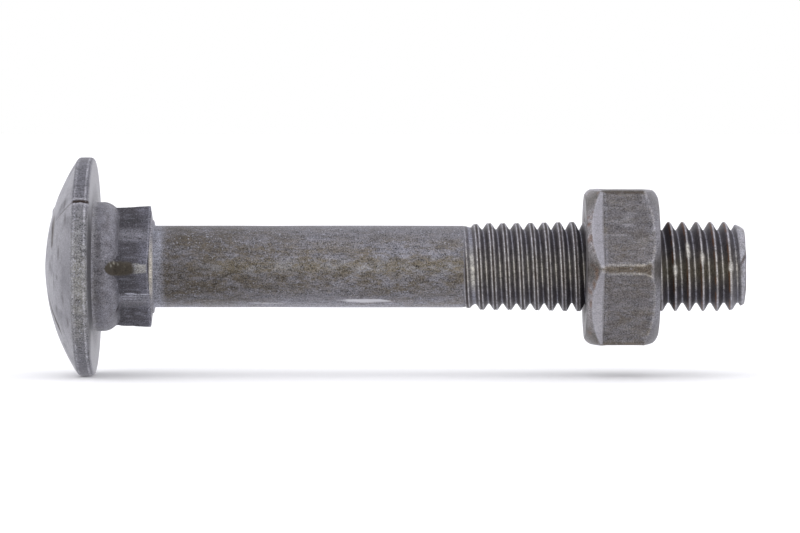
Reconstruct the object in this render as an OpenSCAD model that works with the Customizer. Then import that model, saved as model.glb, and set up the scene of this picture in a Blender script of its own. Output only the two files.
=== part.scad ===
// Carriage bolt with its hexagon nut screwed on, metric coarse thread.
// The bolt's axis is X: the domed head is at -X and the threaded end at +X.
// The origin is on the axis in the flat underside of the head, and Z is up.
// Two of the nut's flats face up and down, and so do two of the neck's corners.
// The thread's crests are drawn as a plain cylinder.

/* [Head] */
// Diameter of the head over its rim
head_d = 23.7; // [22:0.1:26]
// Height of the head from its underside to the crown of the dome
head_h = 5.35; // [4.6:0.05:6.4]
// Height of the rim's straight side, up to where the dome would meet it
rim_h = 1.65; // [1.2:0.05:2]
// Radius of the edge between the dome and the rim
rim_top_round = 0.4; // [0.1:0.05:0.5]
// Radius of the edge between the rim and the underside
rim_foot_round = 0.45; // [0.1:0.05:0.5]

/* [Boss under the head] */
// Diameter of the round boss
boss_d = 14; // [13.4:0.1:16]
// Height of the boss, its rounded end included
boss_h = 2.85; // [2.2:0.05:3.4]
// Radius of the boss's rounded end
boss_round = 1.95; // [0.5:0.05:2]

/* [Square neck] */
// Width of the neck across its flats
neck_w = 10; // [9.4:0.1:10.6]
// Length of the neck from the head's underside to its end corners
neck_h = 5.96; // [4.5:0.02:9]
// How far the neck's round corners are short of sharp ones, at the head
corner_cut_head = 0.75; // [0.5:0.01:1]
// How far the neck's round corners are short of sharp ones, at the neck's end
corner_cut_end = 0.56; // [0.3:0.01:0.8]
// Height of the shallow cone from the neck's end corners to the shank
neck_end_cone_h = 0.34; // [0.1:0.02:1]

/* [Shank and thread] */
// Diameter of the plain shank
shank_d = 8.86; // [8.4:0.02:9.2]
// Length of the bolt from the head's underside to its tip
bolt_l = 70.4; // [62:0.2:90]
// Length of the threaded end, from its run-out groove to the tip
thread_l = 30.1; // [24:0.1:40]
// Diameter over the thread's crests
thread_d = 9.75; // [9.7:0.01:9.97]
// Depth of the groove where the thread runs out into the shank
runout_depth = 0.18; // [0.05:0.01:0.4]
// Length of the run-out groove's flat bottom
runout_l = 0.4; // [0.2:0.05:1]
// Length of the bevel at the tip, along the bolt
tip_bevel_l = 1.8; // [0.8:0.05:2]
// Width of the bevel at the tip, all round
tip_bevel_w = 0.75; // [0.5:0.01:1.6]

/* [Nut] */
// Width of the nut across its flats
nut_w = 16.75; // [16.6:0.05:17]
// Height of the nut
nut_h = 7.9; // [7.6:0.02:9.4]
// How far the nut's worn corners are short of sharp ones
nut_corner_wear = 0.22; // [0:0.01:0.4]
// Length of thread that stands out beyond the nut
thread_past_nut = 9.38; // [2:0.02:17]
// Distance from the edge of the nut's bearing face to its flats
bearing_inset = 0.525; // [0.2:0.005:0.9]
// Distance from the edge of the nut's outer face to its flats
outer_inset = 0.825; // [0.2:0.005:1.1]
// Angle between each end face and its bevel
bevel_angle = 40; // [20:1:45]
// Width of the countersink at each end of the hole, all round
countersink_w = 0.42; // [0.2:0.02:0.8]
// Angle between an end face and its countersink
countersink_angle = 45; // [30:1:60]

/* [Fit] */
// Gap between the thread's crests and the nut's hole, on the radius
thread_gap = 0.05; // [0.02:0.01:0.09]

/* [Hidden] */
$fn = 180;

// the dome is one arc through the crown and the rim's upper corner
head_r = head_d / 2;
dome_rise = head_h - rim_h;
dome_r = (head_r * head_r + dome_rise * dome_rise) / (2 * dome_rise);
dome_z = dome_r - head_h;
// the rim's upper round touches the dome's arc from inside
top_round_r = head_r - rim_top_round;
top_round_z = dome_z - sqrt(pow(dome_r - rim_top_round, 2) - pow(top_round_r, 2));
dome_edge_r = top_round_r * dome_r / (dome_r - rim_top_round);

// a sharp-cornered square and hexagon would be this wide across their corners
neck_sharp_d = neck_w / cos(45);
nut_sharp_d = nut_w / cos(30);
neck_corner_r1 = neck_sharp_d / 2 - corner_cut_head;
neck_corner_r2 = neck_sharp_d / 2 - corner_cut_end;

shank_end = bolt_l - thread_l;
runout_r = shank_d / 2 - runout_depth;
runout_rise = thread_d / 2 - runout_r;
tip_r = thread_d / 2 - tip_bevel_w;

nut_at = bolt_l - thread_past_nut - nut_h;
bearing_r = nut_w / 2 - bearing_inset;
outer_r = nut_w / 2 - outer_inset;
bore_r = thread_d / 2 + thread_gap;
countersink_r = bore_r + countersink_w;

// a round blank is larger than the nut's sharp corners
nut_blank_r = nut_w;

module along_x() {
    rotate([0, 90, 0]) children();
}

// Outline of the head: the distance from the axis to the right, and the way to the tip upwards
module head_outline() {
    intersection() {
        translate([0, dome_z]) circle(dome_r);
        translate([0, -head_h]) square([dome_edge_r, head_h]);
    }
    translate([top_round_r, top_round_z]) circle(rim_top_round);
    translate([0, top_round_z]) square([head_r, -top_round_z - rim_foot_round]);
    translate([head_r - rim_foot_round, -rim_foot_round]) circle(rim_foot_round);
    translate([0, -2 * rim_foot_round])
        square([head_r - rim_foot_round, 2 * rim_foot_round]);
}

// Outline of the boss with its rounded end
module boss_outline() {
    flat_h = boss_h - boss_round;
    square([boss_d / 2, flat_h]);
    square([boss_d / 2 - boss_round, boss_h]);
    intersection() {
        translate([boss_d / 2 - boss_round, flat_h]) circle(boss_round);
        square([boss_d / 2, boss_h]);
    }
}

// The square neck, whose corners are left round by the blank it was pressed from
module neck() {
    intersection() {
        rotate(45) translate([-neck_w / 2, -neck_w / 2, 0])
            cube([neck_w, neck_w, neck_h + neck_end_cone_h]);
        rotate_extrude() polygon([
            [0, 0],
            [neck_corner_r1, 0],
            [neck_corner_r2, neck_h],
            [shank_d / 2, neck_h + neck_end_cone_h],
            [0, neck_h + neck_end_cone_h]
        ]);
    }
}

// Outline of the shank, the run-out groove, the thread's crests and the bevelled tip
module shank_outline() {
    groove_start = shank_end + runout_depth;
    groove_end = groove_start + runout_l;
    polygon([
        [0, 0],
        [shank_d / 2, 0],
        [shank_d / 2, shank_end],
        [runout_r, groove_start],
        [runout_r, groove_end],
        [thread_d / 2, groove_end + runout_rise],
        [thread_d / 2, bolt_l - tip_bevel_l],
        [tip_r, bolt_l],
        [0, bolt_l]
    ]);
}

module bolt() {
    color([0.46, 0.45, 0.46]) along_x() {
        rotate_extrude() head_outline();
        rotate_extrude() boss_outline();
        neck();
        rotate_extrude() shank_outline();
    }
}

// Outline of a round blank with a bevel at each end, which trims the nut's corners
module nut_blank_outline() {
    bearing_bevel = (nut_blank_r - bearing_r) * tan(bevel_angle);
    outer_bevel = (nut_blank_r - outer_r) * tan(bevel_angle);
    intersection() {
        square([nut_sharp_d / 2 - nut_corner_wear, nut_h]);
        polygon([
            [0, 0],
            [bearing_r, 0],
            [nut_blank_r, bearing_bevel],
            [nut_blank_r, nut_h],
            [0, nut_h]
        ]);
        polygon([
            [0, 0],
            [nut_blank_r, 0],
            [nut_blank_r, nut_h - outer_bevel],
            [outer_r, nut_h],
            [0, nut_h]
        ]);
    }
}

// Outline of the nut's hole with a countersink at each end, past both faces
module nut_hole_outline() {
    depth = countersink_w * tan(countersink_angle);
    past = 1;
    polygon([
        [0, -past],
        [countersink_r, -past],
        [countersink_r, 0],
        [bore_r, depth],
        [bore_r, nut_h - depth],
        [countersink_r, nut_h],
        [countersink_r, nut_h + past],
        [0, nut_h + past]
    ]);
}

module nut() {
    color([0.5, 0.49, 0.49]) translate([nut_at, 0, 0]) along_x()
        difference() {
            intersection() {
                rotate(30) cylinder(d = nut_sharp_d, h = nut_h, $fn = 6);
                rotate_extrude() nut_blank_outline();
            }
            rotate_extrude() nut_hole_outline();
        }
}

bolt();
nut();
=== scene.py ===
"""Looks of the carriage bolt and its nut: worn dark steel with a rolled thread, in a white studio.

Sizes are in millimetres and angles in degrees. MM turns millimetres into the frame's metres.
A place round the axis is its angle from the top (+Z) over the front (-Y) to the bottom (-Z).
"""

import math

import bmesh
import bpy
import numpy as np
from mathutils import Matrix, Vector


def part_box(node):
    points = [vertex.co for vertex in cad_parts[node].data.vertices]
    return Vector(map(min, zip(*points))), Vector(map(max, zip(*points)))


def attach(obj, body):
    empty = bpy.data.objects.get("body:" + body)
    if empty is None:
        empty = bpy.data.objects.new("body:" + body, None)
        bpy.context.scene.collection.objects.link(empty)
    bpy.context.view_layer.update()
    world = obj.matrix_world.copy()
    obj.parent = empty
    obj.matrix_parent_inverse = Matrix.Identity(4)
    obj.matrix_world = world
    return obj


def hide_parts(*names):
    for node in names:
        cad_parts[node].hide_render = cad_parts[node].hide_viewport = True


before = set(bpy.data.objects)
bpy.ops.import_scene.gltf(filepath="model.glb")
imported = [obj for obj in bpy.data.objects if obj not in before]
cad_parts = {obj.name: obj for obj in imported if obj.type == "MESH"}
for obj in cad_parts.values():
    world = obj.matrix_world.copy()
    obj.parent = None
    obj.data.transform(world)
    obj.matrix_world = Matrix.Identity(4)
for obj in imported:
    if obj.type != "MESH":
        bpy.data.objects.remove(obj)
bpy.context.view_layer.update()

MM = 0.001
TURN = 360.0

# ---------------------------------------------------------------- sizes from the frame

bolt_lo, bolt_hi = (np.array(corner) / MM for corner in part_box("bolt"))
nut_lo, nut_hi = (np.array(corner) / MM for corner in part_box("nut"))

HEAD_H = -bolt_lo[0]
HEAD_R = bolt_hi[2]
BOLT_L = bolt_hi[0]
NUT_START, NUT_END = nut_lo[0], nut_hi[0]
NUT_FLAT_R = nut_hi[2]
NUT_CORNER_R = nut_hi[1]

# ---------------------------------------------------------------- sizes of the bolt

RIM_H = 1.65
RIM_TOP_ROUND = 0.4
RIM_FOOT_ROUND = 0.45
BOSS_R = 7.0
BOSS_STRAIGHT = 0.9
BOSS_H = 2.85
NECK_HALF = 5.0
NECK_CORNER_R1, NECK_CORNER_R2 = 6.32, 6.57
NECK_H = 5.96
NECK_END = 6.38
SHANK_R = 4.44
# places past the neck's end corners and radii of the worn step down to the shank
NECK_STEP_X = (0, 0.1, 0.2, 0.33, NECK_END - NECK_H)
NECK_STEP_R = (6.75, 6.4, 5.5, 4.52, SHANK_R)
THREAD_START = 39.75
THREAD_FULL = 41.7
PITCH = 1.5
CREST_AT_TOP = 62.26
CREST_R_OLD, CREST_R_NEW = 4.73, 4.87
ROOT_R_OLD, ROOT_R_NEW = 4.04, 3.94
# between these places the crests grow wider, and between the next two the seam closes
THREAD_GROWS = (45.0, 53.0)
THREAD_CHANGE = (53.5, 60.0)
TIP_CURVE_START = 68.0
TIP_CURVE_DROP = 0.78

# ---------------------------------------------------------------- sizes of the nut

BEARING_R = NUT_FLAT_R - 0.525
OUTER_R = NUT_FLAT_R - 0.825
BEVEL_TAN = math.tan(math.radians(40))
# how far the worn bevels bow out of a straight cone
BOW_IN, BOW_OUT = 0.07, 0.12
HOLE_R = 4.925
NUT_ROOT_R, NUT_CREST_R = 4.92, 4.22
COUNTERSINK = 0.42
STRIP_END = 1.79
STRIP_STEP = 0.05

# ---------------------------------------------------------------- places of marks

# radius, angle, half width and stretch round the axis of dark marks on the dome
DOME_MARKS = (
    (10.1, 46.5, 0.34, 3.0),
    (10.3, 59.0, 0.32, 3.0),
    (8.9, 79.5, 0.42, 3.5),
    (8.5, 96.0, 0.3, 2.0),
    (6.1, 88.0, 0.45, 2.2),
    (7.6, 101.0, 0.34, 4.5),
    (9.9, 108.0, 0.34, 4.0),
    (8.2, 122.0, 0.38, 2.4),
    (10.9, 121.0, 0.3, 3.0),
    (9.6, 241.0, 0.45, 2.0),
    (7.4, 305.0, 0.4, 3.0),
)
# middle and half length along the axis, angle, half width and strength of each scrape on the shank
SCRAPES = (
    (29.4, 2.75, 144.5, 0.36, 1.0),
    (19.0, 2.0, 151.6, 0.2, 0.45),
    (14.6, 1.6, 268, 0.3, 0.6),
)
# place along the axis and angle of each small pit in the neck's faces
PITS = ((5.05, 51.5), (2.68, 139.5), (3.9, 226), (4.6, 318))
# distance from the middle of a neck face and strength of its bright lines
FACE_LINES = ((-0.98, 0.85), (-0.62, 0.6), (-0.25, 0.85), (0.1, 0.4))
# place along the axis, angle and half length in degrees of each flattened spot on a crest
NICKS = ((62.7, 93, 11), (64.15, 66.5, 15), (65.75, 77, 11), (68.7, 88, 9), (58.9, 250, 12))

# ---------------------------------------------------------------- the view

# place on the axis that the camera looks at, how far off it is and its angle above level
VIEW_MIDDLE, VIEW_DISTANCE, VIEW_RISE = 33.1, 467, 2

# ---------------------------------------------------------------- colours, as seen on screen

# the head
DOME = (172, 171, 177)
DOME_CLOUD_AND_SHADE = (134, 133, 139)
SCUFF_DARK = (112, 110, 114)
SCUFF_LIGHT = (196, 196, 203)
BAND = (104, 98, 96)
BAND_EDGE = (56, 46, 42)
SCAR = (120, 118, 122)
GOUGE = (48, 38, 34)
GOUGE_LIP = (196, 195, 202)
DOME_MARK = (88, 85, 88)
RIM = (104, 103, 111)
RIM_FRONT_PALE = (150, 150, 149)
CRACK = (48, 34, 26)
CRACK_FINE = (104, 98, 98)
UNDERSIDE = (172, 171, 177)
UNDERSIDE_SHADE = (98, 97, 101)
# the boss and the neck
BOSS = (134, 133, 142)
BOSS_CLOUD = (116, 114, 121)
FILLET = (150, 149, 154)
NECK = (71, 69, 76)
NECK_TAIL = (112, 112, 125)
NECK_STREAK = (122, 122, 134)
NECK_SHADE = (56, 54, 60)
NECK_EDGE = (140, 140, 152)
NECK_STEP = (138, 137, 145)
NECK_STEP_LIT = (214, 208, 198)
PIT = (44, 42, 46)
CREASE = (146, 147, 160)
FACE_LINE = (196, 198, 212)
LENS = (76, 70, 62)
LENS_LIT = (150, 148, 140)
GRAINY = (158, 157, 156)
GAP_SHADE = (48, 38, 32)
# the shank
SHANK = (134, 133, 141)
SHANK_DARK = (98, 95, 98)
SHANK_RING = (136, 137, 147)
SHANK_BOUNCE_LIGHT = (184, 184, 196)
SHANK_HIGHLIGHT = (158, 156, 150)
SCRAPE = (214, 213, 219)
# the thread and the tip
FLANK = (86, 82, 88)
FLANK_OLIVE_HIGHLIGHT = (112, 106, 92)
ROOT_REFLECTION = (146, 146, 158)
LIT = (234, 231, 222)
SEAM = (40, 30, 24)
SEAM_SHADE = (66, 60, 60)
RUST = (112, 74, 46)
NICK = (206, 204, 200)
TIP_TAIL = (140, 139, 147)
TIP_BEVEL = (170, 169, 177)
TIP_FACE = (128, 124, 128)
BURR = (70, 54, 44)
# the nut
FLAT = (116, 113, 117)
FLAT_UPPER_SHADE = (94, 91, 94)
FLAT_FAR = (136, 135, 142)
FLAT_SCRATCH = (150, 149, 155)
STRIP = (160, 158, 165)
STRIP_LOWER_LIGHT = (188, 186, 193)
STRIP_LINE = (140, 140, 149)
STRIP_SHADOW = (86, 84, 88)
CORNER_BAND = (112, 104, 96)
CORNER_LIP = (206, 203, 200)
CORNER_DARK = (74, 66, 62)
BEVEL = (154, 151, 156)
BEVEL_CORNER = (108, 104, 102)
BEVEL_OUT = (136, 134, 140)
BEVEL_OUT_CORNER = (88, 84, 82)
END_FACE = (128, 124, 126)
BEARING_FACE = (152, 150, 154)
FACE_RIM = (96, 92, 92)
NUT_EDGE = (184, 183, 190)
RUSTY = (122, 92, 72)
RUST_SPOT = (112, 72, 44)
# worn edges all over
BRIGHT = (196, 195, 203)

# what the brown film does to the paint under it, and the pale flecks' own colour
FILM = (0.66, 0.58, 0.42, 1)
FLECK = (0.4, 0.41, 0.48, 1)

# strength of the tent's light, and what share of a screen colour the paint takes under it
TENT_LIGHT = 1.3
PAINT_SHARE = 0.74


def linear(colour):
    """The paint that shows as a screen colour of 0 to 255 in the tent's light."""
    c = np.asarray(colour, float) / 255
    return PAINT_SHARE * np.where(c <= 0.04045, c / 12.92, ((c + 0.055) / 1.055) ** 2.4)


# ---------------------------------------------------------------- small helpers


def smooth(lo, hi, v):
    """0 below lo, 1 above hi and a smooth step between."""
    t = np.clip((v - lo) / (hi - lo), 0, 1)
    return t * t * (3 - 2 * t)


def hump(v, middle, half):
    """1 at middle, falling smoothly to 0 at half on either side."""
    t = np.clip(1 - np.abs(v - middle) / half, 0, 1)
    return t * t * (3 - 2 * t)


def turn_between(angle, middle):
    """The signed angle from middle to angle, from -180 to 180."""
    return (angle - middle + TURN / 2) % TURN - TURN / 2


def tint(paint, colour, amount):
    """Moves the paint towards a screen colour by amount at each point."""
    paint += (linear(colour) - paint) * np.clip(amount, 0, 1)[:, None]


def lattice(cell, seed):
    """A repeatable random number from 0 to 1 for each whole cell."""
    h = np.sin(cell @ np.array([127.1, 311.7, 74.7]) + seed * 19.19) * 43758.5453
    return h - np.floor(h)


def noise(points, size, seed):
    """Smooth random field from -1 to 1 whose patches are about size across."""
    p = points / size
    cell = np.floor(p)
    f = p - cell
    f = f * f * (3 - 2 * f)
    total = np.zeros(len(points))
    for corner in np.ndindex(2, 2, 2):
        c = np.array(corner)
        weight = np.prod(np.where(c == 1, f, 1 - f), axis=1)
        total += weight * lattice(cell + c, seed)
    return total * 2 - 1


# ---------------------------------------------------------------- skins made of rings


class Skin:
    """Points round the X axis, kept as place along it, radius and angle, with the faces between."""

    def __init__(self):
        self.x, self.r, self.angle, self.faces = [], [], [], []
        self.count = 0

    def rings(self, x, r, angle):
        """Adds points given as arrays of rings by angles, and returns their numbers."""
        x, r, angle = np.broadcast_arrays(x, r, angle)
        for store, values in ((self.x, x), (self.r, r), (self.angle, angle)):
            store.append(np.array(values, float).ravel())
        numbers = np.arange(self.count, self.count + x.size).reshape(x.shape)
        self.count += x.size
        return numbers

    def band(self, a, b):
        """Faces between two closed rings with the same number of points."""
        self.faces.append(np.stack([a, b, np.roll(b, -1), np.roll(a, -1)], 1))

    def wall(self, numbers):
        """Faces between each ring and the next."""
        for a, b in zip(numbers[:-1], numbers[1:]):
            self.band(a, b)

    def half(self, fine, coarse):
        """Faces between a ring and the next one with half as many points."""
        f0, f1, f2 = fine[0::2], fine[1::2], np.roll(fine[0::2], -1)
        c1 = np.roll(coarse, -1)
        for a, b, c in ((f0, coarse, f1), (f1, coarse, c1), (f1, c1, f2)):
            self.faces.append(np.stack([a, b, c, c], 1))

    def cap(self, x, ring, outwards):
        """Joins a ring to a point on the axis. outwards is -1 at the -X end and 1 at the +X end."""
        pole = np.broadcast_to(self.rings([x], [0.0], [0.0]), ring.shape)
        pair = (ring, np.roll(ring, -1))
        a, b = pair if outwards < 0 else pair[::-1]
        self.faces.append(np.stack([pole, a, b, b], 1))

    def helix(self, base, shift, radius, angle, start, end, seam):
        """A wall whose rings lean along a screw thread, cut square at both ends.

        base holds the rings' places at angle 0, shift what each angle adds, and seam the number of
        rings in one turn. Returns the numbers of the square rings at start and end."""
        first = self.rings(np.full(angle.shape, start), radius(start, angle), angle)
        last = self.rings(np.full(angle.shape, end), radius(end, angle), angle)
        x = base[:, None] + shift[None, :]
        a = np.broadcast_to(angle, x.shape)
        inside = (x > start + 0.02) & (x < end - 0.02)
        numbers = np.where(x <= start + 0.02, first[None, :], last[None, :])
        added = self.rings(x[inside], radius(x[inside], a[inside]), a[inside])
        numbers[inside] = added
        right = np.roll(numbers, -1, axis=1)
        right[:-seam, -1] = numbers[seam:, 0]
        right[-seam:, -1] = last[0]
        for i in range(len(base) - 1):
            self.faces.append(np.stack([numbers[i], numbers[i + 1], right[i + 1], right[i]], 1))
        return first, last

    def arrays(self):
        """Places along the axis, radii and angles of all the points."""
        return (np.concatenate(v) for v in (self.x, self.r, self.angle))


def place(x, r, angle):
    """Points in millimetres from their places along and round the axis."""
    a = np.radians(angle)
    return np.stack([x, -r * np.sin(a), r * np.cos(a)], 1)


def clean_faces(faces):
    """Faces as lists of point numbers, without repeated points or faces that have no area."""
    result = []
    for face in np.concatenate(faces).tolist():
        kept = [n for i, n in enumerate(face) if n != face[i - 1]]
        if len(set(kept)) >= 3:
            result.append(kept)
    return result


def turn_outwards(mesh):
    """Makes every face of a closed mesh face outwards."""
    work = bmesh.new()
    work.from_mesh(mesh)
    bmesh.ops.recalc_face_normals(work, faces=work.faces)
    work.to_mesh(mesh)
    work.free()
    mesh.update()


def make_piece(name, skin, finish, material):
    """A mesh piece from a skin. finish gives each point its depth under it, paint and detail.

    detail holds how strongly the material's grain, brown film and pale flecks show."""
    x, r, angle = skin.arrays()
    points = place(x, r, angle)
    mesh = bpy.data.meshes.new(name)
    mesh.from_pydata((points * MM).tolist(), [], clean_faces(skin.faces))
    turn_outwards(mesh)
    normals = np.zeros(len(points) * 3)
    mesh.vertices.foreach_get("normal", normals)
    depth, paint, detail = finish(x, r, angle, points)
    points = points - normals.reshape(-1, 3) * depth[:, None]
    mesh.vertices.foreach_set("co", (points * MM).ravel())
    for label, values in (("paint", paint), ("detail", detail)):
        layer = mesh.attributes.new(label, "FLOAT_COLOR", "POINT")
        layer.data.foreach_set("color", np.column_stack([values, np.ones(len(x))]).ravel())
    mesh.polygons.foreach_set("use_smooth", [True] * len(mesh.polygons))
    mesh.materials.append(material)
    mesh.update()
    piece = bpy.data.objects.new(name, mesh)
    bpy.context.scene.collection.objects.link(piece)
    return piece


# ---------------------------------------------------------------- the screw thread


def thread_phase(x, angle):
    """Distance along the axis from the nearest crest, from minus to plus half a pitch."""
    return (x - CREST_AT_TOP - PITCH * angle / TURN + PITCH / 2) % PITCH - PITCH / 2


def thread_form(x):
    """Crest radius, root radius and half the width of the crest at a place along the bolt."""
    grown = smooth(*THREAD_GROWS, x)
    begun = smooth(THREAD_START, THREAD_FULL, x)
    crest = SHANK_R + (CREST_R_OLD - SHANK_R) * smooth(THREAD_START, THREAD_FULL + 0.5, x)
    crest = crest + (CREST_R_NEW - CREST_R_OLD) * grown
    root = SHANK_R + (ROOT_R_OLD - SHANK_R) * begun
    root = root + (ROOT_R_NEW - ROOT_R_OLD) * grown
    half = 0.24 - 0.14 * smooth(*THREAD_CHANGE, x)
    return crest, root, half


def thread_radius(x, angle):
    """Radius of the bolt's threaded end."""
    crest, root, half = thread_form(x)
    t = np.abs(thread_phase(x, angle))
    flank = np.minimum((crest - root) * math.tan(math.radians(30)), PITCH / 2 - half - 0.07)
    rise = 1 - np.clip((t - half) / np.maximum(flank, 0.01), 0, 1)
    r = root + (crest - root) * rise
    r = r - 0.05 * hump(t, half + 0.02, 0.1) + 0.03 * hump(t, half + flank, 0.1)
    return np.minimum(r, tip_radius(x))


def tip_radius(x):
    """The rounded bevel that cuts the thread's crests at the tip."""
    run = np.clip((x - TIP_CURVE_START) / (BOLT_L - TIP_CURVE_START), 0, 1)
    return CREST_R_NEW - TIP_CURVE_DROP * run**2


def thread_rings(start, end):
    """Places, at angle 0, of the rings that follow the crest, flanks and root of each turn."""
    steps = (0, 0.1, 0.19, 0.28, 0.62, 1)
    first = math.floor((start - CREST_AT_TOP) / PITCH) - 1
    last = math.ceil((end - CREST_AT_TOP) / PITCH) + 1
    rings = []
    for turn in range(first, last):
        crest_x = CREST_AT_TOP + turn * PITCH
        foot = PITCH / 2 - 0.1
        out = [d if d < 0.3 else 0.28 + (foot - 0.28) * (d - 0.28) / 0.72 for d in steps]
        rings += [crest_x + d for d in out] + [crest_x + PITCH / 2]
        rings += [crest_x + PITCH - d for d in out[:0:-1]]
    return np.array(rings), 2 * len(steps)


# ---------------------------------------------------------------- the bolt

FINE, PLAIN = 320, 160
fine_angles = np.arange(FINE) * TURN / FINE
plain_angles = np.arange(PLAIN) * TURN / PLAIN


def squeezed(angles, middle, width, pull):
    """Angles drawn together round middle, where a small detail needs more points."""
    d = turn_between(angles, middle) / width
    return angles - pull * width * d * np.exp(-d * d / 2)


SLOT_ANGLE = 52.0
head_angles = squeezed(fine_angles, SLOT_ANGLE, 9, 0.62)


def dome_arc():
    """Centre and radius of the arc through the crown and the rim's upper corner."""
    rise = HEAD_H - RIM_H
    radius = (HEAD_R**2 + rise**2) / (2 * rise)
    return radius - HEAD_H, radius


def head_profile():
    """Places and radii of the head's rings, from the crown to the boss."""
    centre, radius = dome_arc()
    top_r = HEAD_R - RIM_TOP_ROUND
    top_x = centre - math.sqrt((radius - RIM_TOP_ROUND) ** 2 - top_r**2)
    lean = math.asin(top_r / (radius - RIM_TOP_ROUND))
    r = np.linspace(0.2, top_r + RIM_TOP_ROUND * math.sin(lean), 58)
    dome = np.stack([centre - np.sqrt(radius**2 - r**2), r], 1)
    a = np.linspace(lean, math.pi / 2, 5)[1:]
    top = np.stack([top_x - RIM_TOP_ROUND * np.cos(a), top_r + RIM_TOP_ROUND * np.sin(a)], 1)
    side_x = np.linspace(top_x, -RIM_FOOT_ROUND, 9)[1:]
    side = np.stack([side_x, np.full(len(side_x), HEAD_R)], 1)
    a = np.linspace(0, math.pi / 2, 4)[1:]
    foot_r = HEAD_R - RIM_FOOT_ROUND
    foot = np.stack(
        [-RIM_FOOT_ROUND * (1 - np.sin(a)), foot_r + RIM_FOOT_ROUND * np.cos(a)], 1
    )
    under_r = np.linspace(foot_r, BOSS_R + 0.13, 9)[1:]
    under = np.stack([np.zeros(len(under_r)), under_r], 1)
    return np.concatenate([dome, top, side, foot, under])


def boss_radius(x):
    """Radius of the boss and its rounded end."""
    over = np.clip(x - BOSS_STRAIGHT, 0, None) / (BOSS_H - BOSS_STRAIGHT)
    drop = 1 - np.sqrt(np.clip(1 - over**2, 0, 1))
    return BOSS_R - drop * (BOSS_H - BOSS_STRAIGHT) + 0.12 * (1 - smooth(0, 0.2, x))


def neck_radius(x, angle):
    """Radius of the square neck with its round corners and the shallow end that meets the shank."""
    from_face = np.abs(turn_between(angle % 90, 45))
    face = NECK_HALF / np.cos(np.radians(from_face))
    corner = NECK_CORNER_R1 + (NECK_CORNER_R2 - NECK_CORNER_R1) * np.clip(x / NECK_H, 0, 1)
    front = hump(turn_between(angle, 90), 0, 45)
    corner = corner + 0.17 * front * smooth(2.6, 5.6, x)
    end = np.interp(x - NECK_H, NECK_STEP_X, NECK_STEP_R)
    return np.minimum(np.minimum(face, corner), end)


def boss_and_neck_radius(x, angle):
    """Radius of the boss and the neck, with a soft meeting between the two."""
    boss, neck = boss_radius(x), neck_radius(x, angle)
    over = boss_over_neck(x, angle)
    return neck + (boss - neck) * over + 0.05 * over * (1 - over)


def boss_over_neck(x, angle):
    """1 where the boss covers the neck, 0 where the neck's faces show."""
    return np.clip(0.5 + (boss_radius(x) - neck_radius(x, angle)) / 0.22, 0, 1)


def bolt_skin():
    """The bolt's surface, from the crown of the head to the middle of the tip."""
    skin = Skin()
    profile = head_profile()
    head = skin.rings(profile[:, :1], profile[:, 1:], head_angles[None, :])
    skin.cap(-HEAD_H, head[0], -1)
    neck_x = np.concatenate(
        [
            np.linspace(0.05, BOSS_STRAIGHT, 6),
            np.linspace(BOSS_STRAIGHT, BOSS_H, 15)[1:],
            np.linspace(BOSS_H, NECK_H - 0.2, 17)[1:],
            NECK_H + np.array([-0.1, -0.04, 0.02, 0.06, 0.1, 0.15, 0.2, 0.26, 0.33]),
            [NECK_END],
        ]
    )
    relax = np.clip(np.arange(len(neck_x)) / 5, 0, 1)[:, None]
    angles = head_angles + (fine_angles - head_angles) * relax
    neck = skin.rings(neck_x[:, None], boss_and_neck_radius(neck_x[:, None], angles), angles)
    skin.wall(np.concatenate([head, neck]))
    shank_x = np.linspace(NECK_END + 0.15, THREAD_START, 50)[:-1]
    shank = skin.rings(shank_x[:, None], SHANK_R, plain_angles[None, :])
    skin.half(neck[-1], shank[0])
    base, seam = thread_rings(THREAD_START, BOLT_L)
    shift = PITCH * plain_angles / TURN
    end = BOLT_L - 0.15
    first, last = skin.helix(base, shift, thread_radius, plain_angles, THREAD_START, end, seam)
    skin.wall(np.concatenate([shank, first[None, :]]))
    edge = thread_radius(end, plain_angles)
    tip_x = np.array([BOLT_L - 0.04, BOLT_L, BOLT_L, BOLT_L, BOLT_L])
    tip_r = np.stack([edge - 0.09, edge - 0.22, edge * 0.75, edge * 0.5, edge * 0.25])
    tip = skin.rings(tip_x[:, None], tip_r, plain_angles[None, :])
    skin.wall(np.concatenate([last[None, :], tip]))
    skin.cap(BOLT_L, tip[-1], 1)
    return skin


def arc_length(angle, middle, r):
    """Distance round the axis from a place at angle middle."""
    return np.radians(turn_between(angle, middle)) * r


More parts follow.
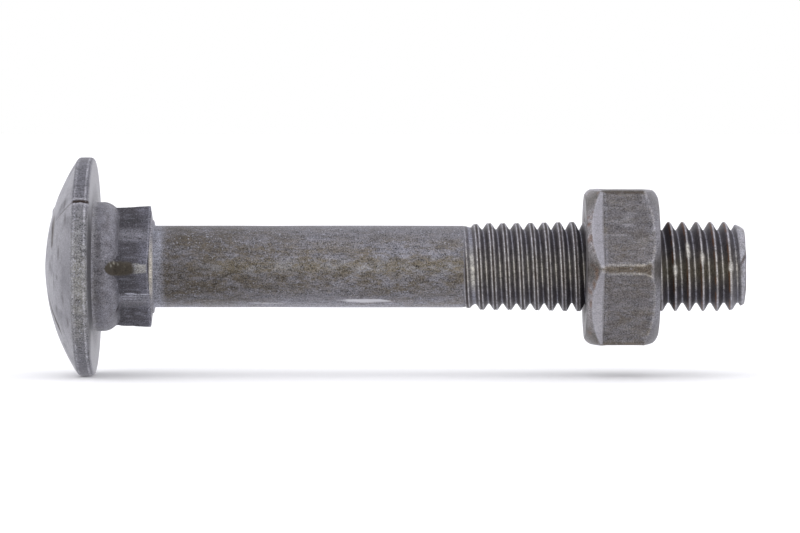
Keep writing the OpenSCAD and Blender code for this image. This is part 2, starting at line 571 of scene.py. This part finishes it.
def head_finish(x, r, angle, points, depth, paint, detail):
    """Dome, rim and underside of the head, with painted shade on the dome's front and on the
    underside.
    """
    on = (x < 0.001) | (r > BOSS_R + 0.12)
    rim = smooth(HEAD_R - 0.32, HEAD_R - 0.1, r) * on
    dome = on * (x < -RIM_H + 0.2) * (1 - rim)
    under = on * (x > -0.35) * (1 - rim)
    for zone, colour in ((dome, DOME), (rim, RIM), (under, UNDERSIDE)):
        tint(paint, colour, zone)
    cloud = noise(points, 1.7, 3) + 0.6 * noise(points, 0.6, 2)
    tint(paint, DOME_CLOUD_AND_SHADE, dome * smooth(-0.3, 1.2, cloud))
    scuff = noise(points * [1, 1, 0.3], 0.5, 61)
    tint(paint, SCUFF_DARK, dome * smooth(0.3, 0.9, scuff) * 0.34)
    tint(paint, SCUFF_LIGHT, dome * smooth(0.3, 0.9, -scuff) * 0.26)
    front = hump(turn_between(angle, 97), 0, 62)
    # painted shade: the dome darker towards its outer edge at the front
    tint(paint, DOME_CLOUD_AND_SHADE, dome * front * smooth(5.5, 11.6, r) * 0.75)
    # the rim is paler towards the front
    tint(paint, RIM_FRONT_PALE, rim * front * (0.7 + 0.4 * noise(points, 0.5, 4)))
    # painted shade on the underside, in the corner by the boss and towards the front
    ring = 1 - smooth(7.4, 9.6, r)
    tint(paint, UNDERSIDE_SHADE, under * (0.5 + 0.5 * front) * ring)
    tint(paint, UNDERSIDE_SHADE, under * smooth(0.05, 0.5, front))
    detail[:, 0] += dome * 0.45 + rim * 1.1 + under * 0.5
    detail[:, 1] += dome * 0.06 + rim * 0.2 * front + under * 0.15
    detail[:, 2] += rim * (0.2 + 0.9 * front) + dome * 0.1
    edges = hump(x, -0.42, 0.16) * (r > HEAD_R - 0.2) + 0.5 * hump(x, -RIM_H + 0.1, 0.22) * rim
    tint(paint, BRIGHT, edges * (0.55 + 0.4 * noise(points, 0.6, 8)))
    depth += rim * 0.03 * noise(points, 0.5, 5) + dome * 0.04 * noise(points, 1.9, 6)
    slot_and_crack(x, r, angle, points, depth, paint, dome, on)
    dome_scars(r, angle, points, depth, paint, dome)


def slot_and_crack(x, r, angle, points, depth, paint, dome, on):
    """The slot across the rim and the fine crack that runs on from it over the dome."""
    off = arc_length(angle, SLOT_ANGLE, r) + 0.07 * noise(points, 0.45, 7)
    across = on * (r > 11.55) * (x > -RIM_H - 0.4) * (x < -0.02)
    slot = hump(off, 0, 0.24) * across
    depth += 0.15 * slot
    tint(paint, CRACK, slot * 2)
    lips = (hump(off, 0.33, 0.2) + hump(off, -0.33, 0.2)) * across
    tint(paint, BRIGHT, lips * 0.45)
    crack = hump(arc_length(angle, SLOT_ANGLE - 1.6 * smooth(11.4, 8, r), r), 0, 0.13)
    crack *= dome * smooth(7.6, 8.4, r)
    depth += 0.04 * crack
    tint(paint, CRACK_FINE, crack * 0.8)


def dome_scars(r, angle, points, depth, paint, dome):
    """A curved band, a raised scar, a long shallow gouge with a light lip, and small dark marks."""
    reach = smooth(0, 0.45, hump(turn_between(angle, 55), 0, 21)) * dome
    wide = 0.95 - 0.6 * smooth(46, 74, angle)
    band = smooth(-0.06, 0.04, r - 6.62) * (1 - smooth(-0.1, 0.1, r - 6.62 - wide)) * reach
    tint(paint, BAND, band * 0.8)
    curve = hump(r, 6.72, 0.32) * reach * smooth(-0.9, 0.2, noise(points, 0.5, 51))
    depth += 0.04 * band + 0.02 * curve
    tint(paint, BAND_EDGE, curve * (0.3 + smooth(38, 55, angle)) * 1.1)
    scar = hump(r, 6.1, 0.6) * hump(turn_between(angle, 3), 0, 15) * dome
    depth -= 0.15 * scar
    tint(paint, SCAR, scar * 0.6)
    away = arc_length(angle, 132 + (r - 5.8) * 2.6, r)
    length = smooth(5.0, 6.0, r) * (1 - smooth(8.7, 9.4, r)) * dome
    half = 0.52 + 0.3 * noise(points, 0.7, 54)
    gouge = hump(away + 0.2 * noise(points, 0.6, 52), 0, half) * length
    depth += 0.02 * gouge
    tint(paint, GOUGE, gouge * 1.4)
    lip = hump(away, 0.95, 0.45) * length
    tint(paint, GOUGE_LIP, lip * 0.35)
    for mark_r, mark_angle, size, stretch in DOME_MARKS:
        off = np.hypot(r - mark_r, arc_length(angle, mark_angle, r) / stretch)
        mark = hump(off + 0.1 * noise(points, 0.3, 53), 0, size) * dome
        depth += 0.02 * mark
        tint(paint, DOME_MARK, mark * 0.75)


def neck_finish(x, r, angle, points, depth, paint, detail):
    """Boss, neck faces with their creases, the unfilled corners and the worn end with a painted
    highlight at its front and back.
    """
    on = (x > 0.001) & (x < NECK_END + 0.01) & (r < BOSS_R + 0.12)
    over = boss_over_neck(x, angle)
    boss, face = on * over, on * (1 - over)
    tint(paint, BOSS, boss)
    tint(paint, BOSS_CLOUD, boss * smooth(-0.1, 0.7, noise(points * [2.2, 1, 1], 0.9, 9)))
    fillet = boss * (1 - smooth(0.25, 0.9, x)) * (0.6 + 0.5 * noise(points, 0.8, 17))
    tint(paint, FILLET, fillet)
    tint(paint, NECK, face)
    near_end = face * smooth(4.4, 5.7, x) * (0.5 + 0.4 * noise(points, 0.7, 18))
    tint(paint, NECK_TAIL, near_end)
    streak = face * smooth(0.1, 0.8, noise(points * [0.25, 1, 1], 0.3, 25))
    tint(paint, NECK_STREAK, streak * 0.55)
    tint(paint, NECK_SHADE, face * hump(turn_between(angle, 28), 0, 30) * 0.6)
    detail[:, 0] += boss * 0.9 + face * 1.25
    detail[:, 1] += boss * 0.15 + face * 0.1
    detail[:, 2] += boss * 0.12 + face * 0.3
    face_lines(x, r, angle, points, depth, paint, face)
    unfilled_corners(x, angle, points, depth, paint, detail, on)
    edge = hump(x, NECK_H + 0.02, 0.16) * on
    tint(paint, NECK_EDGE, edge * (0.7 + 0.3 * noise(points, 0.4, 15)))
    end = smooth(NECK_H + 0.16, NECK_H + 0.2, x) * on
    # painted highlight on the end's front and back
    bright = np.maximum(*(hump(turn_between(angle, at), 0, 50) for at in (92, 272)))
    tint(paint, NECK_STEP, end)
    tint(paint, NECK_STEP_LIT, end * bright)
    for pit_x, pit_angle in PITS:
        pit = hump(np.hypot((x - pit_x) * 0.6, arc_length(angle, pit_angle, r)), 0, 0.22) * on
        depth += 0.08 * pit
        tint(paint, PIT, pit)
    depth += on * 0.025 * noise(points, 0.6, 14)


def face_lines(x, r, angle, points, depth, paint, face):
    """A light crease along the middle of each neck face, and broken bright lines on one face."""
    across = np.radians(turn_between(angle % 90, 45)) * r
    patchy = 0.65 + 0.5 * noise(points * [1, 0.4, 0.4], 0.6, 11)
    crease = (hump(across, -0.15, 0.15) + 0.7 * hump(across, 0.14, 0.14)) * face * patchy
    depth -= 0.03 * crease
    tint(paint, CREASE, crease)
    lower = smooth(0, 0.5, hump(turn_between(angle, 128), 0, 26)) * smooth(2.6, 3.0, x)
    for at, strength in FACE_LINES:
        line = smooth(0, 0.7, hump(across + 0.12 * noise(points, 0.7, 19), at, 0.17)) * face * lower
        line *= smooth(-0.7, 0.1, noise(points * [0.5, 1, 1], 0.4, 12))
        depth -= 0.03 * line
        tint(paint, FACE_LINE, line * strength * 1.3)


def unfilled_corners(x, angle, points, depth, paint, detail, on):
    """The rough brown stretch on each corner, the grainy worn stretch beyond it, and painted shade
    in the crevice at the neck's end.
    """
    from_corner = np.abs(turn_between(angle, np.round(angle / 90) * 90))
    front = hump(turn_between(angle, 90), 0, 40)
    width = 7.6 * np.sqrt(np.clip((x - 1.45) / 0.8, 0, 1)) - 3.8 * smooth(3.2, 5.7, x)
    width = (width + 0.7 * noise(points, 0.5, 16)) * (0.72 + 0.28 * front)
    corner = (1 - smooth(0.85, 1.1, from_corner / np.maximum(width, 0.2))) * on * (x > 1.45)
    lens = corner * (1 - smooth(4.35, 4.8, x + 0.3 * noise(points, 0.3, 20)))
    depth += lens * (0.06 + 0.04 * noise(points, 0.3, 13))
    tint(paint, LENS, lens)
    detail[:, 0] -= lens * 0.65
    detail[:, 2] -= lens * 0.3
    lit = lens * smooth(0.45, 0.7, noise(points, 0.22, 21)) * (angle % 90 > 45)
    tint(paint, LENS_LIT, lit)
    grainy = corner * smooth(4.3, 4.9, x) * (x < NECK_H + 0.01)
    tint(paint, GRAINY, grainy * 0.9)
    detail[:, 2] += grainy * 0.6
    # painted shade in the crevice just past the neck's end, at the front
    gap_shade = hump(x, NECK_H + 0.1, 0.1) * on * front
    tint(paint, GAP_SHADE, gap_shade * 1.2)


def shank_finish(x, r, angle, points, depth, paint, detail):
    """Plain shank: waviness, brown film, the light ring at the neck, the bright scrapes, and
    painted light: shade above and below the front, a highlight along the front and bounce light
    underneath.
    """
    on = (x > NECK_END + 0.01) & (x < THREAD_START + 0.2)
    tint(paint, SHANK, on * 1.0)
    jagged = x + 0.15 * noise(points, 0.5, 23)
    near_neck = (1 - smooth(8.2, 27, x)) * smooth(7.2, 7.5, jagged)
    tint(paint, SHANK_DARK, on * near_neck * 0.8)
    # painted shade: darker on the upper side and in a band below the front
    upper = hump(turn_between(angle, 32), 0, 50) + 0.7 * hump(turn_between(angle, 128), 0, 26)
    tint(paint, SHANK_DARK, on * upper * 0.45)
    ring = (1 - smooth(7.2, 7.5, jagged)) * on
    patch = smooth(-0.1, 0.6, noise(points, 1.3, 24))
    tint(paint, SHANK_RING, ring * 0.9 * (1 - 0.7 * patch))
    # the brown film is heavier at the front and back: partly real film, partly painted shade of a
    # darker, warmer front
    band = hump(turn_between(angle, 88), 0, 64) + hump(turn_between(angle, 262), 0, 50)
    blot = 0.3 * noise(points * [0.3, 1, 1], 2.0, 22)
    film = np.clip(0.35 + 0.75 * band + blot + 0.3 * near_neck, 0, 1) * (1 - ring)
    detail[:, 0] += on * 1.15
    detail[:, 1] += on * film * 1.15
    detail[:, 2] += on * (0.7 + 0.5 * blot) * (1 - 0.4 * band)
    # painted light bounced up from the floor onto the shank's underside
    foot = hump(turn_between(angle, 172), 0, 36)
    tint(paint, SHANK_BOUNCE_LIGHT, on * foot * 0.6)
    # painted highlight along the shank's front
    front_highlight = hump(turn_between(angle, 88), 0, 17) * smooth(9, 16, x) * on
    tint(paint, SHANK_HIGHLIGHT, front_highlight * 0.35)
    depth += on * 0.02 * noise(points * [0.25, 1, 1], 1.2, 21)
    for middle, half, at, width, strength in SCRAPES:
        off = arc_length(angle, at, r)
        scrape = np.clip(1 - ((x - middle) / half) ** 2 - (off / width) ** 2, 0, 1) * on
        depth += 0.03 * scrape * strength
        shown = smooth(0, 0.25, scrape) * strength
        tint(paint, SCRAPE, shown)
        detail[:] = detail * (1 - shown[:, None])


def thread_finish(x, r, angle, points, depth, paint, detail):
    """Dark flanks with a painted olive highlight, roots with a painted reflection, and crests that
    are a rolled seam first and one edge later, with a painted highlight at the front and back.
    """
    on = smooth(THREAD_START + 0.15, THREAD_START + 0.5, x)
    t = thread_phase(x, angle)
    new = smooth(*THREAD_CHANGE, x)
    inside = on * (x < BOLT_L - 0.2)
    lit = np.maximum(*(hump(turn_between(angle, at), 0, 48) for at in (93, 273)))
    tint(paint, FLANK, on * 1.0)
    # painted highlight: an olive glow on the flanks at the front and back
    tint(paint, FLANK_OLIVE_HIGHLIGHT, inside * lit**2 * (0.35 + 0.5 * new))
    # patches that break up both the worn crests and the painted reflection in the roots
    worn = np.clip(0.85 + 0.6 * noise(points, 0.3, 33), 0.15, 1)
    wide = 0.14 + 0.23 * (1 - smooth(41.1, 41.6, x))
    # painted reflection along each root, wider at the first turn, brightest as a painted highlight
    # at the front and back
    root = smooth(0, 0.8, hump(np.abs(t), PITCH / 2, wide)) * inside
    tint(paint, ROOT_REFLECTION, root * worn)
    tint(paint, LIT, root * worn * lit)
    lips = hump(np.abs(t), 0.2, 0.11) * (1 - new) * inside
    crest = hump(t, 0.03, 0.14) * new * inside
    tint(paint, BRIGHT, (lips + crest) * worn)
    # painted highlight on the worn crests at the front and back
    tint(paint, LIT, (lips + crest) * worn * lit * 0.6)
    seam = hump(t, 0, 0.15) * (1 - new) * inside
    seam *= smooth(-0.9, -0.2, noise(points, 0.5, 31))
    shade = hump(t, -0.42, 0.2) * (1 - new) * inside
    tint(paint, SEAM_SHADE, shade * 0.6)
    depth += 0.05 * seam
    tint(paint, SEAM, seam)
    rust = hump(t, -0.16, 0.12) * new * inside * smooth(-0.6, 0.3, noise(points, 0.7, 34))
    tint(paint, RUST, rust)
    nicks(x, angle, t, points, inside, depth, paint)
    tip_finish(x, r, angle, points, depth, paint, detail, (1 - root) * (1 - crest))
    detail[:, 0] += on * 0.8
    detail[:, 1] += on * 0.25 * (1 - root)


def tip_finish(x, r, angle, points, depth, paint, detail, flanks):
    """Paler last flanks, a light bevel with a dark burr, and the rough end face."""
    near_tip = smooth(68.6, 69.3, x)
    tint(paint, TIP_TAIL, near_tip * flanks * 0.5)
    bevel = smooth(-0.03, 0.0, r - tip_radius(x)) * smooth(68.8, 69.3, x)
    tint(paint, TIP_BEVEL, bevel)
    end = (x > BOLT_L - 0.06) * 1.0
    tint(paint, TIP_FACE, end)
    burr = hump(turn_between(angle, 78), 0, 16) * hump(x + 0.03 * (angle - 78), BOLT_L - 0.35, 0.22)
    tint(paint, BURR, burr * (r > 3.8) * 1.1)
    depth += end * 0.04 * noise(points, 1.1, 32)
    detail[:, 2] += end * 0.3


def nicks(x, angle, t, points, inside, depth, paint):
    """Spots where a crest is knocked flat and bright."""
    for nick_x, nick_angle, length in NICKS:
        here = hump(turn_between(angle, nick_angle), 0, length) * (np.abs(x - nick_x) < 0.6)
        nick = hump(t + 0.07 * noise(points, 0.35, 35), 0.05, 0.34) * smooth(0, 0.6, here) * inside
        depth += 0.1 * nick * hump(t, 0, 0.25)
        tint(paint, NICK, nick * 1.5)


def bolt_finish(x, r, angle, points):
    """Depth, paint and detail of the whole bolt."""
    depth = np.zeros(len(x))
    paint = np.tile(linear(SHANK), (len(x), 1))
    detail = np.zeros((len(x), 3))
    for zone in (head_finish, neck_finish, shank_finish, thread_finish):
        zone(x, r, angle, points, depth, paint, detail)
    return depth, paint, detail


# ---------------------------------------------------------------- the nut

NUT_COLUMNS = 240
nut_angles = np.arange(NUT_COLUMNS) * TURN / NUT_COLUMNS


def worn_corner(x, angle):
    """How far the worn edge of each corner is from the axis: most worn at the outer end."""
    corner = np.round((angle - 30) / 60) % 6
    first = 9.63 - 0.03 * np.sin(corner * 2.1) ** 2
    last = np.where(corner == 1, 9.24, 9.46 - 0.06 * np.sin(corner * 1.7 + 1))
    middle = first - 0.13 * smooth(NUT_START + 1.4, NUT_START + 2.2, x)
    flare = np.clip((x - NUT_END + 2.9) / 2, 0, 1) ** 2
    return middle + (last - middle) * flare


def nut_radius(x, angle):
    """Radius of the hexagon with its worn corners, without the bevels."""
    from_flat = turn_between(angle, np.round(angle / 60) * 60)
    flat = NUT_FLAT_R / np.cos(np.radians(from_flat))
    return np.minimum(flat, np.minimum(worn_corner(x, angle), NUT_CORNER_R + 0.1))


def bevel_meets(side, angle):
    """Place along the axis where a bevel meets the flat or the corner. side is -1 or 1."""
    face_x, face_r = (NUT_START, BEARING_R) if side < 0 else (NUT_END, OUTER_R)
    x = np.full(angle.shape, face_x)
    front = hump(turn_between(angle, 90), 0, 32)
    shift = 0.12 if side < 0 else 0.45 * front
    for _ in range(12):
        x = face_x - side * (nut_radius(x, angle) - face_r) * BEVEL_TAN + shift
    return x


def nut_thread_radius(x, angle):
    """The nut's own thread, just clear of the bolt's."""
    off = np.abs(thread_phase(x, angle))
    return np.clip(NUT_ROOT_R - (off - 0.14) * 1.55, NUT_CREST_R, NUT_ROOT_R)


def nut_skin():
    """The nut's surface: bearing face, sides, outer face and the threaded hole."""
    skin = Skin()
    outside = skin.rings(*nut_outside(nut_angles), nut_angles[None, :])
    skin.wall(outside)
    base, seam = nut_thread_rings()
    lo, hi = NUT_START + COUNTERSINK, NUT_END - COUNTERSINK
    shift = PITCH * nut_angles / TURN
    first, last = skin.helix(base, shift, nut_thread_radius, nut_angles, lo, hi, seam)
    skin.band(first, outside[0])
    skin.band(outside[-1], last)
    return skin


def nut_outside(angle):
    """Places along the axis and radii of the rings from one mouth of the hole to the other."""
    start, end = bevel_meets(-1, angle), bevel_meets(1, angle)
    mouth = HOLE_R + COUNTERSINK
    rows_x, rows_r = [], []

    def row(x, r):
        """Adds one ring of the outside."""
        rows_x.append(np.broadcast_to(x, angle.shape))
        rows_r.append(np.broadcast_to(r, angle.shape))

    for r in np.linspace(mouth, BEARING_R - 0.08, 7):
        row(NUT_START, r)
    start_r = nut_radius(start, angle)
    for t in np.linspace(0, 1, 7)[:-1]:
        out = BOW_IN * 4 * t * (1 - t)
        x = NUT_START + (start - NUT_START) * t
        row(x - 0.77 * out, BEARING_R + (start_r - BEARING_R) * t + 0.64 * out)
    strip_x = NUT_START + STRIP_END
    for t in np.linspace(0, 1, 6):
        x = start + (strip_x - start) * t
        row(x, nut_radius(x, angle))
    for t in np.concatenate([[0.015], np.linspace(0.04, 1, 22)]):
        x = strip_x + (end - strip_x) * t
        row(x, nut_radius(x, angle))
    end_r = nut_radius(end, angle)
    for t in np.linspace(1, 0, 7)[1:]:
        out = BOW_OUT * 4 * t * (1 - t)
        x = NUT_END + (end - NUT_END) * t
        row(x + 0.77 * out, OUTER_R + (end_r - OUTER_R) * t + 0.64 * out)
    for r in np.linspace(OUTER_R - 0.08, mouth, 7):
        row(NUT_END, r)
    return np.array(rows_x), np.array(rows_r)


def nut_thread_rings():
    """Places, at angle 0, of the rings that follow the nut's thread."""
    steps = (0.1, 0.3, 0.59, 0.75, 0.91, 1.2, 1.4)
    first = math.floor((NUT_START - CREST_AT_TOP) / PITCH) - 1
    last = math.ceil((NUT_END - CREST_AT_TOP) / PITCH) + 1
    rings = [CREST_AT_TOP + PITCH * k + s for k in range(first, last) for s in steps]
    return np.array(rings), len(steps)


def nut_finish(x, r, angle, points):
    """Flats with their proud strips, worn corners, bevels and end faces."""
    depth = np.zeros(len(x))
    paint = np.tile(linear(FLAT), (len(x), 1))
    detail = np.zeros((len(x), 3))
    start, end = bevel_meets(-1, angle), bevel_meets(1, angle)
    outer = r > OUTER_R - 0.05
    side = outer * (x > start - 0.01) * (x < end + 0.01)
    along = x - NUT_START
    flat = NUT_FLAT_R / np.cos(np.radians(turn_between(angle, np.round(angle / 60) * 60)))
    cut = flat - worn_corner(x, angle)
    corner = side * smooth(-0.04, 0.03, cut)
    plane = side * (1 - corner)
    strip = plane * (1 - smooth(STRIP_END - 0.03, STRIP_END + 0.03, along))
    depth += plane * (1 - strip / np.maximum(plane, 0.01)) * STRIP_STEP
    nut_flats(x, angle, points, paint, plane, strip, end)
    nut_corners(angle, paint, side, cut, corner, along)
    bevel_in = outer * (x < start - 0.005) * (along > 0.001)
    bevel_out = outer * (x > end + 0.005)
    ends = (along < 0.001) | (x > NUT_END - 0.001)
    nut_bevels(r, angle, paint, along, bevel_in, bevel_out, ends)
    rusty = smooth(0.3, 0.7, noise(points, 0.5, 46)) * bevel_in
    tint(paint, RUSTY, rusty * 0.6)
    edge = hump(x, end, 0.12) * outer + 0.8 * hump(x, start, 0.1) * outer
    tint(paint, NUT_EDGE, edge * (0.5 + 0.3 * noise(points, 0.7, 44)))
    hole = (r < HOLE_R + COUNTERSINK - 0.01) * 1.0
    tint(paint, FLANK, hole)
    rust = hump(np.hypot(along - 0.2, arc_length(angle, 54.5, r)), 0, 0.3) * bevel_in
    tint(paint, RUST_SPOT, rust)
    detail[:, 0] += 1.0 - 0.6 * strip
    patch = smooth(-0.1, 0.7, noise(points * [0.7, 1, 1], 1.8, 45))
    film = plane * (1 - strip) * (0.45 + 0.5 * patch) + 0.5 * corner + 0.3 * (bevel_in | ends)
    detail[:, 1] += film
    detail[:, 2] += 0.3 * plane * (1 - strip) + 0.4 * corner
    scratches = smooth(0.25, 0.7, noise(points * [0.18, 1, 1], 0.28, 47)) * plane
    tint(paint, FLAT_SCRATCH, scratches * 0.45)
    depth += outer * 0.012 * noise(points, 0.8, 41)
    return depth, paint, detail


def nut_flats(x, angle, points, paint, plane, strip, end):
    """Grey flats with painted shade on the upper ones, and a paler proud strip at the bearing end
    with painted light on its lower part, its edge and its shadow.
    """
    along = x - NUT_START
    # painted shade on the upper flats
    upper = plane * (1 - strip) * hump(turn_between(angle, 50), 0, 42)
    tint(paint, FLAT_UPPER_SHADE, upper * 0.5)
    tint(paint, STRIP, strip)
    # painted light on the strip of the lower flats
    tint(paint, STRIP_LOWER_LIGHT, strip * hump(turn_between(angle, 130), 0, 42) * 0.7)
    line = hump(along, STRIP_END + 0.22, 0.2) * plane
    tint(paint, STRIP_LINE, line * 0.55)
    shadow = hump(along, STRIP_END + 0.03, 0.1) * plane
    tint(paint, STRIP_SHADOW, shadow * 0.5)
    far = hump(x, end - 0.35, 0.3) * plane
    tint(paint, FLAT_FAR, far * (0.45 + 0.4 * noise(points, 0.8, 43)))


def nut_corners(angle, paint, side, cut, corner, along):
    """Worn corners with a bright lip each side, with a painted highlight at the front, and a dark
    upper one.
    """
    tint(paint, CORNER_BAND, corner)
    lips = hump(cut, -0.04, 0.085) * side * (0.6 + 0.4 * smooth(2, 4, along))
    near = hump(turn_between(angle, 90), 0, 50)
    # the lips are worn bright, and their extra brightness towards the front is a painted highlight
    tint(paint, CORNER_LIP, lips * (0.2 + 0.65 * near))
    tint(paint, CORNER_DARK, corner * hump(turn_between(angle, 30), 0, 20) * 0.8)


def nut_bevels(r, angle, paint, along, bevel_in, bevel_out, ends):
    """Bevels, darker at the nut's corners, and the end faces with a dark rim at the bearing end."""
    near = hump(turn_between(angle, 90), 0, 50)
    for zone, colour in ((bevel_in, BEVEL), (bevel_out, BEVEL_OUT), (ends, END_FACE)):
        tint(paint, colour, zone * 1.0)
    near_corner = hump(np.abs(turn_between(angle % 60, 30)), 0, 22)
    tint(paint, BEVEL_CORNER, bevel_in * near_corner)
    tint(paint, BEVEL_OUT_CORNER, bevel_out * near_corner * (0.5 + 0.5 * near))
    rim = (along < 0.1) * hump(r, BEARING_R, 0.12)
    tint(paint, FACE_RIM, rim * 0.9)
    tint(paint, BEARING_FACE, (along < 0.001) * (r > HOLE_R + 0.9) * (1 - rim))


# ---------------------------------------------------------------- materials


class Nodes:
    """Short names for building a node tree."""

    def __init__(self, tree):
        self.tree = tree

    def add(self, kind, **inputs):
        """A new node with the named inputs set or linked."""
        node = self.tree.nodes.new("ShaderNode" + kind)
        for name, value in inputs.items():
            self.put(node, name.replace("_", " "), value)
        return node

    def put(self, node, name, value):
        """Sets an input to a value, or links a socket to it."""
        if hasattr(value, "is_linked"):
            self.tree.links.new(value, node.inputs[name])
        else:
            node.inputs[name].default_value = value

    def math(self, kind, a, b):
        """The result of one sum on two values."""
        node = self.tree.nodes.new("ShaderNodeMath")
        node.operation = kind
        self.put(node, 0, a)
        self.put(node, 1, b)
        return node.outputs[0]

    def mix(self, kind, amount, a, b):
        """Colour a mixed with colour b in the given way and amount."""
        node = self.tree.nodes.new("ShaderNodeMixRGB")
        node.blend_type = kind
        for name, value in (("Fac", amount), ("Color1", a), ("Color2", b)):
            self.put(node, name, value)
        return node.outputs[0]

    def range(self, value, a, b, c, d):
        """A value moved from the range a to b into the range c to d, and kept inside it."""
        node = self.add("MapRange", Value=value)
        for name, number in (("From Min", a), ("From Max", b), ("To Min", c), ("To Max", d)):
            node.inputs[name].default_value = number
        return node.outputs[0]

    def noise(self, vector, scale, detail, roughness=0.5):
        """Fractal noise at a place."""
        node = self.add("TexNoise", Vector=vector, Scale=scale, Detail=detail, Roughness=roughness)
        return node.outputs["Fac"]

    def attribute(self, name):
        """What the mesh's points carry under this name."""
        node = self.add("Attribute")
        node.attribute_name = name
        return node.outputs["Color"]


def steel(name):
    """Worn steel: the painted zones under fine grain, a patchy brown film and pale flecks."""
    material = bpy.data.materials.new(name)
    material.use_nodes = True
    n = Nodes(material.node_tree)
    shader = material.node_tree.nodes["Principled BSDF"]
    placed = n.add("Mapping", Vector=n.add("TexCoord").outputs["Object"], Scale=(1000,) * 3)
    mm = placed.outputs["Vector"]
    drawn = n.add("Mapping", Vector=mm, Scale=(0.4, 1, 1)).outputs["Vector"]
    parts = n.add("SeparateColor", Color=n.attribute("detail")).outputs
    fine = n.noise(mm, 7.5, 2, 0.6)
    blotch = n.noise(drawn, 2.2, 4, 0.65)
    grain = n.range(fine, 0.3, 0.7, -0.6, 0.6)
    uneven = n.math("ADD", grain, n.range(blotch, 0.3, 0.7, -0.34, 0.34))
    tone = n.math("ADD", n.math("MULTIPLY", uneven, parts[0]), 1)
    tones = n.add("CombineXYZ", X=tone, Y=tone, Z=tone).outputs[0]
    colour = n.mix("MULTIPLY", 1, n.attribute("paint"), tones)
    film = n.range(n.noise(drawn, 0.9, 9, 0.85), 0.43, 0.57, 0, 1)
    colour = n.mix("MULTIPLY", n.math("MULTIPLY", film, parts[1]), colour, FILM)
    fleck = n.range(n.noise(mm, 4.6, 3, 0.7), 0.58, 0.7, 0, 1)
    colour = n.mix("MIX", n.math("MULTIPLY", fleck, parts[2]), colour, FLECK)
    n.put(shader, "Base Color", colour)
    n.put(shader, "Roughness", n.range(blotch, 0.3, 0.7, 0.46, 0.62))
    shader.inputs["Metallic"].default_value = 0.6
    height = n.math("ADD", fine, n.math("MULTIPLY", film, 0.5))
    bump = n.add("Bump", Height=height, Distance=0.00003, Strength=0.5)
    n.put(shader, "Normal", bump.outputs["Normal"])
    return material


def floor_paint():
    """Matt white floor with a barely visible mottle."""
    material = bpy.data.materials.new("floor_paint")
    material.use_nodes = True
    n = Nodes(material.node_tree)
    shader = material.node_tree.nodes["Principled BSDF"]
    mottle = n.noise(n.add("TexCoord").outputs["Object"], 3, 2)
    tone = n.range(mottle, 0.3, 0.7, 0.86, 0.9)
    n.put(shader, "Base Color", n.add("CombineXYZ", X=tone, Y=tone, Z=tone).outputs[0])
    shader.inputs["Roughness"].default_value = 0.9
    return material


# ---------------------------------------------------------------- studio


def studio():
    """White floor and tent, darker and warmer towards the front, and a soft light from above."""
    size = 6.0
    mesh = bpy.data.meshes.new("floor")
    z = bolt_lo[2] * MM
    corners = [(-size, -size, z), (size, -size, z), (size, size, z), (-size, size, z)]
    mesh.from_pydata(corners, [], [(0, 1, 2, 3)])
    mesh.materials.append(floor_paint())
    floor = bpy.data.objects.new("floor", mesh)
    floor.visible_glossy = False
    bpy.context.scene.collection.objects.link(floor)
    tent()
    lamp = bpy.data.lights.new("top_light", "SUN")
    lamp.angle = math.radians(70)
    lamp.energy = 0.35
    light = bpy.data.objects.new("top_light", lamp)
    light.rotation_euler = (math.radians(25), math.radians(-10), 0)
    bpy.context.scene.collection.objects.link(light)


def tent():
    """The light tent round the part, seen as plain white by the camera."""
    world = bpy.data.worlds.new("tent")
    bpy.context.scene.world = world
    world.use_nodes = True
    n = Nodes(world.node_tree)
    direction = n.add("TexCoord").outputs["Generated"]
    towards = n.tree.nodes.new("ShaderNodeVectorMath")
    towards.operation = "DOT_PRODUCT"
    n.put(towards, 0, direction)
    down = math.radians(22)
    towards.inputs[1].default_value = (0, -math.cos(down), -math.sin(down))
    front = n.range(towards.outputs["Value"], 0.6, 0.97, 0, 1)
    colour = n.mix("MIX", front, (1.0, 1.0, 1.04, 1), (0.7, 0.67, 0.62, 1))
    sky = world.node_tree.nodes["Background"]
    n.put(sky, "Color", colour)
    sky.inputs["Strength"].default_value = TENT_LIGHT
    white = n.add("Background")
    white.inputs["Color"].default_value = (1, 1, 1, 1)
    seen = n.add("MixShader", Fac=n.add("LightPath").outputs["Is Camera Ray"])
    n.put(seen, 1, sky.outputs[0])
    n.put(seen, 2, white.outputs[0])
    n.put(world.node_tree.nodes["World Output"], "Surface", seen.outputs[0])


def camera():
    """A long lens at the front, slightly above the bolt's axis and looking down at it."""
    view = bpy.data.cameras.new("camera")
    view.lens = 193.5
    view.sensor_width = 36
    view.clip_start, view.clip_end = 0.01, 20
    distance, rise = VIEW_DISTANCE * MM, math.radians(VIEW_RISE)
    back = Vector((0, -math.cos(rise), math.sin(rise)))
    eye = bpy.data.objects.new("camera", view)
    eye.location = Vector((VIEW_MIDDLE * MM, 0, 0)) + back * distance
    eye.rotation_mode = "QUATERNION"
    eye.rotation_quaternion = (-back).to_track_quat("-Z", "Y")
    bpy.context.scene.collection.objects.link(eye)
    bpy.context.scene.camera = eye


# ---------------------------------------------------------------- the scene

bolt = make_piece("carriage_bolt", bolt_skin(), bolt_finish, steel("bolt_steel"))
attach(bolt, "bolt")
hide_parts("bolt")

nut = make_piece("hexagon_nut", nut_skin(), nut_finish, steel("nut_steel"))
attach(nut, "nut")
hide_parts("nut")

studio()
camera()
bpy.context.scene.view_settings.view_transform = "Standard"
